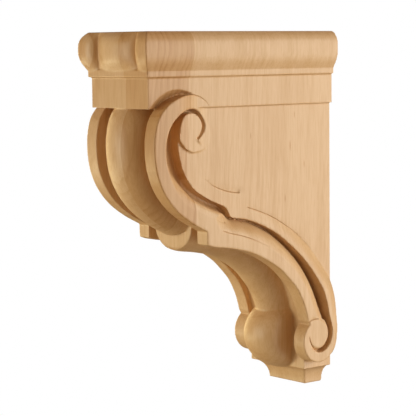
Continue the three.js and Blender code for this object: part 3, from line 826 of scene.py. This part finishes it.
def maple():
    """Pale maple glued up from three boards with upright grain, under a satin finish."""
    material = bpy.data.materials.new("maple")
    material.use_nodes = True
    tree = material.node_tree
    shader = tree.nodes["Principled BSDF"]
    place = tree.nodes.new("ShaderNodeTexCoord").outputs["Object"]
    parts = tree.nodes.new("ShaderNodeSeparateXYZ")
    feed(tree, parts.inputs[0], place)
    front = maths(tree, "LESS_THAN", parts.outputs[1], -GLUE_OUT * MILLIMETRE)
    right = maths(tree, "GREATER_THAN", parts.outputs[0], GLUE_ACROSS * MILLIMETRE)
    pith = blend(tree, front, BACK_PITH, blend(tree, right, FRONT_LEFT_PITH, FRONT_RIGHT_PITH))
    colour = blend(tree, front, BACK_WOOD, blend(tree, right, FRONT_LEFT_WOOD, FRONT_RIGHT_WOOD))
    own = vector_maths(tree, "ADD", place, pith)

    broad, fibres, hairs = (streaks(tree, own, kind) for kind in (BROAD_STREAKS, FIBRES, HAIRS))
    rings = growth_rings(tree, place, pith)
    patches = ramp(tree, streaks(tree, own, PATCHES), PATCHES["from"], PATCHES["to"])
    figure = maths(tree, "ADD", BACK_RINGS, maths(tree, "MULTIPLY", front, 1 - BACK_RINGS))
    shown = maths(tree, "MULTIPLY", maths(tree, "MULTIPLY", rings, patches), figure)
    colour = blend(tree, shown, colour, RING_TINT, "MULTIPLY")
    for noise, kind in ((broad, BROAD_STREAKS), (fibres, FIBRES), (hairs, HAIRS)):
        colour = tinted(tree, colour, noise, kind)
    for out, down, width, length in MARKS:
        colour = blend(tree, mark(tree, place, out, down, width, length), colour, MARK_TINT, "MULTIPLY")
    normal = tree.nodes.new("ShaderNodeSeparateXYZ")
    feed(tree, normal.inputs[0], tree.nodes.new("ShaderNodeNewGeometry").outputs["Normal"])
    # Faces that point up or down are darkened: end grain, and also painted shade on the undersides.
    colour = tinted(tree, colour, maths(tree, "ABSOLUTE", normal.outputs[2]), END_GRAIN_AND_UNDERSIDE_SHADE)
    feed(tree, shader.inputs["Base Color"], colour)

    rough = maths(tree, "ADD", SATIN, maths(tree, "MULTIPLY", fibres, FIBRE_ROUGHNESS))
    feed(tree, shader.inputs["Roughness"], rough)
    bump = tree.nodes.new("ShaderNodeBump")
    bump.inputs["Strength"].default_value = GRAIN_BUMP["strength"]
    bump.inputs["Distance"].default_value = GRAIN_BUMP["height"]
    feed(tree, bump.inputs["Height"], maths(tree, "ADD", fibres, hairs))
    feed(tree, shader.inputs["Normal"], bump.outputs[0])
    return material


def camera():
    ahead = Vector((
        -math.sin(CAMERA_TURN) * math.cos(CAMERA_DIP),
        math.cos(CAMERA_TURN) * math.cos(CAMERA_DIP),
        -math.sin(CAMERA_DIP),
    ))
    level = Vector((math.cos(CAMERA_TURN), math.sin(CAMERA_TURN), 0))
    above = level.cross(ahead)
    right = level * math.cos(CAMERA_ROLL) + above * math.sin(CAMERA_ROLL)
    up = above * math.cos(CAMERA_ROLL) - level * math.sin(CAMERA_ROLL)
    data = bpy.data.cameras.new("camera")
    data.lens = CAMERA_LENS
    made = bpy.data.objects.new("camera", data)
    turn = Matrix((right, up, -ahead)).transposed().to_4x4()
    made.matrix_world = Matrix.Translation(CAMERA_PLACE) @ turn
    bpy.context.scene.collection.objects.link(made)
    bpy.context.scene.camera = made


def softbox(name, direction, width, height, power, colour):
    """An area light that looks at the middle of the bracket from a direction."""
    data = bpy.data.lights.new(name, "AREA")
    data.shape = "RECTANGLE"
    data.size = width
    data.size_y = height
    data.energy = power
    data.color = colour
    made = bpy.data.objects.new(name, data)
    towards = Vector(direction).normalized()
    made.location = Vector(LIGHTS_AIM) + towards * LIGHT_DISTANCE
    made.rotation_euler = towards.to_track_quat("Z", "Y").to_euler()
    bpy.context.scene.collection.objects.link(made)


def backdrop_nodes(tree, seen, lit):
    """Plain white where the camera looks straight at it, and "lit" for the light on the bracket."""
    output = next(node for node in tree.nodes if node.type.startswith("OUTPUT"))
    path = tree.nodes.new("ShaderNodeLightPath")
    mix = tree.nodes.new("ShaderNodeMixShader")
    tree.links.new(path.outputs["Is Camera Ray"], mix.inputs["Fac"])
    tree.links.new(lit.outputs[0], mix.inputs[1])
    tree.links.new(seen.outputs[0], mix.inputs[2])
    tree.links.new(mix.outputs[0], output.inputs["Surface"])


def surroundings():
    """The even light from all round."""
    world = bpy.data.worlds.new("studio")
    bpy.context.scene.world = world
    world.use_nodes = True
    tree = world.node_tree
    lit = tree.nodes["Background"]
    lit.inputs["Color"].default_value = (*AMBIENT_COLOUR, 1)
    lit.inputs["Strength"].default_value = AMBIENT
    seen = tree.nodes.new("ShaderNodeBackground")
    seen.inputs["Color"].default_value = (1, 1, 1, 1)
    backdrop_nodes(tree, seen, lit)


def pale_floor():
    bpy.ops.mesh.primitive_plane_add(size=FLOOR_SIZE, location=(0, 0, FLOOR_HEIGHT))
    floor = bpy.context.object
    floor.name = "floor"
    material = bpy.data.materials.new("pale_floor")
    material.use_nodes = True
    tree = material.node_tree
    lit = tree.nodes["Principled BSDF"]
    lit.inputs["Base Color"].default_value = (*FLOOR_COLOUR, 1)
    lit.inputs["Roughness"].default_value = FLOOR_ROUGHNESS
    seen = tree.nodes.new("ShaderNodeEmission")
    seen.inputs["Color"].default_value = (1, 1, 1, 1)
    backdrop_nodes(tree, seen, lit)
    floor.data.materials.append(material)


def studio():
    surroundings()
    pale_floor()
    for name, direction, width, height, power, colour in LIGHTS:
        softbox(name, direction, width, height, power, colour)
    bpy.context.scene.view_settings.view_transform = "Standard"


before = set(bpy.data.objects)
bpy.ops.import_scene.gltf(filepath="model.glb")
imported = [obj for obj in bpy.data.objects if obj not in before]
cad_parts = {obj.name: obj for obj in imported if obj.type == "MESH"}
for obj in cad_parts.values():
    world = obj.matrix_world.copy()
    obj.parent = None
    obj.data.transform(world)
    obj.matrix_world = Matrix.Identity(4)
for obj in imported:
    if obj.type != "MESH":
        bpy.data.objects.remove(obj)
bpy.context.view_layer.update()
bracket = fine_bracket()
bracket.data.materials.clear()
bracket.data.materials.append(maple())
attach(bracket, "root")
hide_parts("bracket")
camera()
studio()
